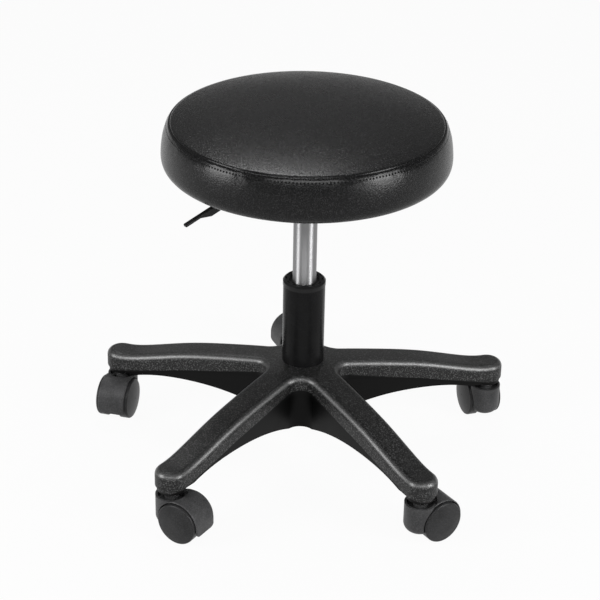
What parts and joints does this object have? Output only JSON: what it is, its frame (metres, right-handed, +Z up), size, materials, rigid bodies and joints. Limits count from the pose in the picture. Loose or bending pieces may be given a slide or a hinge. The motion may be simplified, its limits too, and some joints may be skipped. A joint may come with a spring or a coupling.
{
  "type": "swivel stool",
  "caption": "Round padded stool on a gas-lift column with a release lever under the seat and a star base on swivel casters.",
  "frame": {"origin": "on the floor under the column axis", "axes": "+Z up along the column; the front, with the lever to its left, faces -Y"},
  "size_m": [0.5071, 0.4938, 0.4376],
  "materials": {
    "seat_vinyl": "black vinyl with a fine grain and a soft sheen",
    "base_nylon": "black filled nylon with a speckled grain",
    "caster_plastic": "matte black moulding",
    "wheel_plastic": "matte black moulding",
    "tube_black": "satin black enamel",
    "collar_plastic": "black moulding",
    "inner_plastic": "dark acetal",
    "plain_steel": "zinc plated",
    "cylinder_steel": "satin chromed",
    "plate_black": "black powder coat",
    "lever_plastic": "black moulding",
    "rubber": "plain black rubber",
    "plywood": "bare plywood",
    "foam": "cut foam",
    "dust_cloth": "black non-woven cloth"
  },
  "bodies": {
    "base": {"star_base": "base_nylon", "outer_tube": "tube_black", "tube_collar": "collar_plastic", "guide_bushing": "inner_plastic", "thrust_washer_lower": "plain_steel", "caster_stems": "plain_steel", "stem_grip_rings": "plain_steel"},
    "piston": {"piston_rod": "plain_steel", "piston_head": "plain_steel", "piston_ring": "rubber", "thrust_washer_upper": "plain_steel", "thrust_balls": "plain_steel", "ball_cage": "inner_plastic", "bump_stop": "rubber", "foot_washer": "plain_steel", "retaining_clip": "plain_steel"},
    "seat": {"gas_cylinder": "cylinder_steel", "rod_guide": "inner_plastic", "valve_body": "plain_steel", "taper_socket": "plate_black", "seat_plate": "plate_black", "lever_bracket": "plate_black", "lever_pivot_pin": "plain_steel", "seat_bolts": "plain_steel", "bolt_washers": "plain_steel", "t_nuts": "plain_steel", "seat_board": "plywood", "seat_foam": "foam", "seat_top_panel": "seat_vinyl", "seat_side_band": "seat_vinyl", "dust_cover": "dust_cloth", "cover_staples": "plain_steel"},
    "lever": {"lever_bar": "plate_black", "lever_grip": "lever_plastic"},
    "button": {"release_button": "plain_steel"},
    "caster_right": {"caster_hood_right": "caster_plastic", "caster_axle_right": "plain_steel"},
    "wheel_right_1": {"caster_wheel_right_1": "wheel_plastic"},
    "wheel_right_2": {"caster_wheel_right_2": "wheel_plastic"},
    "caster_rear": {"caster_hood_rear": "caster_plastic", "caster_axle_rear": "plain_steel"},
    "wheel_rear_1": {"caster_wheel_rear_1": "wheel_plastic"},
    "wheel_rear_2": {"caster_wheel_rear_2": "wheel_plastic"},
    "caster_left": {"caster_hood_left": "caster_plastic", "caster_axle_left": "plain_steel"},
    "wheel_left_1": {"caster_wheel_left_1": "wheel_plastic"},
    "wheel_left_2": {"caster_wheel_left_2": "wheel_plastic"},
    "caster_front_left": {"caster_hood_front_left": "caster_plastic", "caster_axle_front_left": "plain_steel"},
    "wheel_front_left_1": {"caster_wheel_front_left_1": "wheel_plastic"},
    "wheel_front_left_2": {"caster_wheel_front_left_2": "wheel_plastic"},
    "caster_front_right": {"caster_hood_front_right": "caster_plastic", "caster_axle_front_right": "plain_steel"},
    "wheel_front_right_1": {"caster_wheel_front_right_1": "wheel_plastic"},
    "wheel_front_right_2": {"caster_wheel_front_right_2": "wheel_plastic"}
  },
  "joints": [
    {"name": "seat_swivel", "type": "hinge", "parent": "base", "child": "piston", "pos_m": [0, 0, 0], "axis": [0, 0, 1], "continuous": true},
    {"name": "seat_lift", "type": "slide", "parent": "piston", "child": "seat", "axis": [0, 0, 1], "range_m": [-0.1, 0]},
    {"name": "lever_pivot", "type": "hinge", "parent": "seat", "child": "lever", "pos_m": [-0.03046, -0.02593, 0.363], "axis": [-0.6481, 0.7615, 0], "range_deg": [0, 5], "stiffness_Nm_per_rad": 6},
    {"name": "button_press", "type": "slide", "parent": "seat", "child": "button", "axis": [0, 0, -1], "range_m": [0, 0.0036]},
    {"name": "caster_right_swivel", "type": "hinge", "parent": "base", "child": "caster_right", "pos_m": [0.22825, 0.07416, 0], "axis": [0, 0, 1], "continuous": true},
    {"name": "wheel_right_1_spin", "type": "hinge", "parent": "caster_right", "child": "wheel_right_1", "pos_m": [0.22178, 0.09256, 0.0251], "axis": [-0.9432, -0.3322, 0], "continuous": true},
    {"name": "wheel_right_2_spin", "type": "hinge", "parent": "caster_right", "child": "wheel_right_2", "pos_m": [0.22178, 0.09256, 0.0251], "axis": [-0.9432, -0.3322, 0], "continuous": true},
    {"name": "caster_rear_swivel", "type": "hinge", "parent": "base", "child": "caster_rear", "pos_m": [0, 0.24, 0], "axis": [0, 0, 1], "continuous": true},
    {"name": "wheel_rear_1_spin", "type": "hinge", "parent": "caster_rear", "child": "wheel_rear_1", "pos_m": [-0.01767, 0.23176, 0.0251], "axis": [0.4226, -0.9063, 0], "continuous": true},
    {"name": "wheel_rear_2_spin", "type": "hinge", "parent": "caster_rear", "child": "wheel_rear_2", "pos_m": [-0.01767, 0.23176, 0.0251], "axis": [0.4226, -0.9063, 0], "continuous": true},
    {"name": "caster_left_swivel", "type": "hinge", "parent": "base", "child": "caster_left", "pos_m": [-0.22825, 0.07416, 0], "axis": [0, 0, 1], "continuous": true},
    {"name": "wheel_left_1_spin", "type": "hinge", "parent": "caster_left", "child": "wheel_left_1", "pos_m": [-0.23284, 0.05521, 0.0251], "axis": [0.972, -0.2351, 0], "continuous": true},
    {"name": "wheel_left_2_spin", "type": "hinge", "parent": "caster_left", "child": "wheel_left_2", "pos_m": [-0.23284, 0.05521, 0.0251], "axis": [0.972, -0.2351, 0], "continuous": true},
    {"name": "caster_front_left_swivel", "type": "hinge", "parent": "base", "child": "caster_front_left", "pos_m": [-0.14107, -0.19416, 0], "axis": [0, 0, 1], "continuous": true},
    {"name": "wheel_front_left_1_spin", "type": "hinge", "parent": "caster_front_left", "child": "wheel_front_left_1", "pos_m": [-0.12427, -0.20406, 0.0251], "axis": [0.5075, 0.8616, 0], "continuous": true},
    {"name": "wheel_front_left_2_spin", "type": "hinge", "parent": "caster_front_left", "child": "wheel_front_left_2", "pos_m": [-0.12427, -0.20406, 0.0251], "axis": [0.5075, 0.8616, 0], "continuous": true},
    {"name": "caster_front_right_swivel", "type": "hinge", "parent": "base", "child": "caster_front_right", "pos_m": [0.14107, -0.19416, 0], "axis": [0, 0, 1], "continuous": true},
    {"name": "wheel_front_right_1_spin", "type": "hinge", "parent": "caster_front_right", "child": "wheel_front_right_1", "pos_m": [0.15678, -0.18262, 0.0251], "axis": [-0.592, 0.8059, 0], "continuous": true},
    {"name": "wheel_front_right_2_spin", "type": "hinge", "parent": "caster_front_right", "child": "wheel_front_right_2", "pos_m": [0.15678, -0.18262, 0.0251], "axis": [-0.592, 0.8059, 0], "continuous": true}
  ],
  "couplings": [
    {"joint": "button_press", "follows": "lever_pivot", "m_per_rad": 0.04}
  ]
}
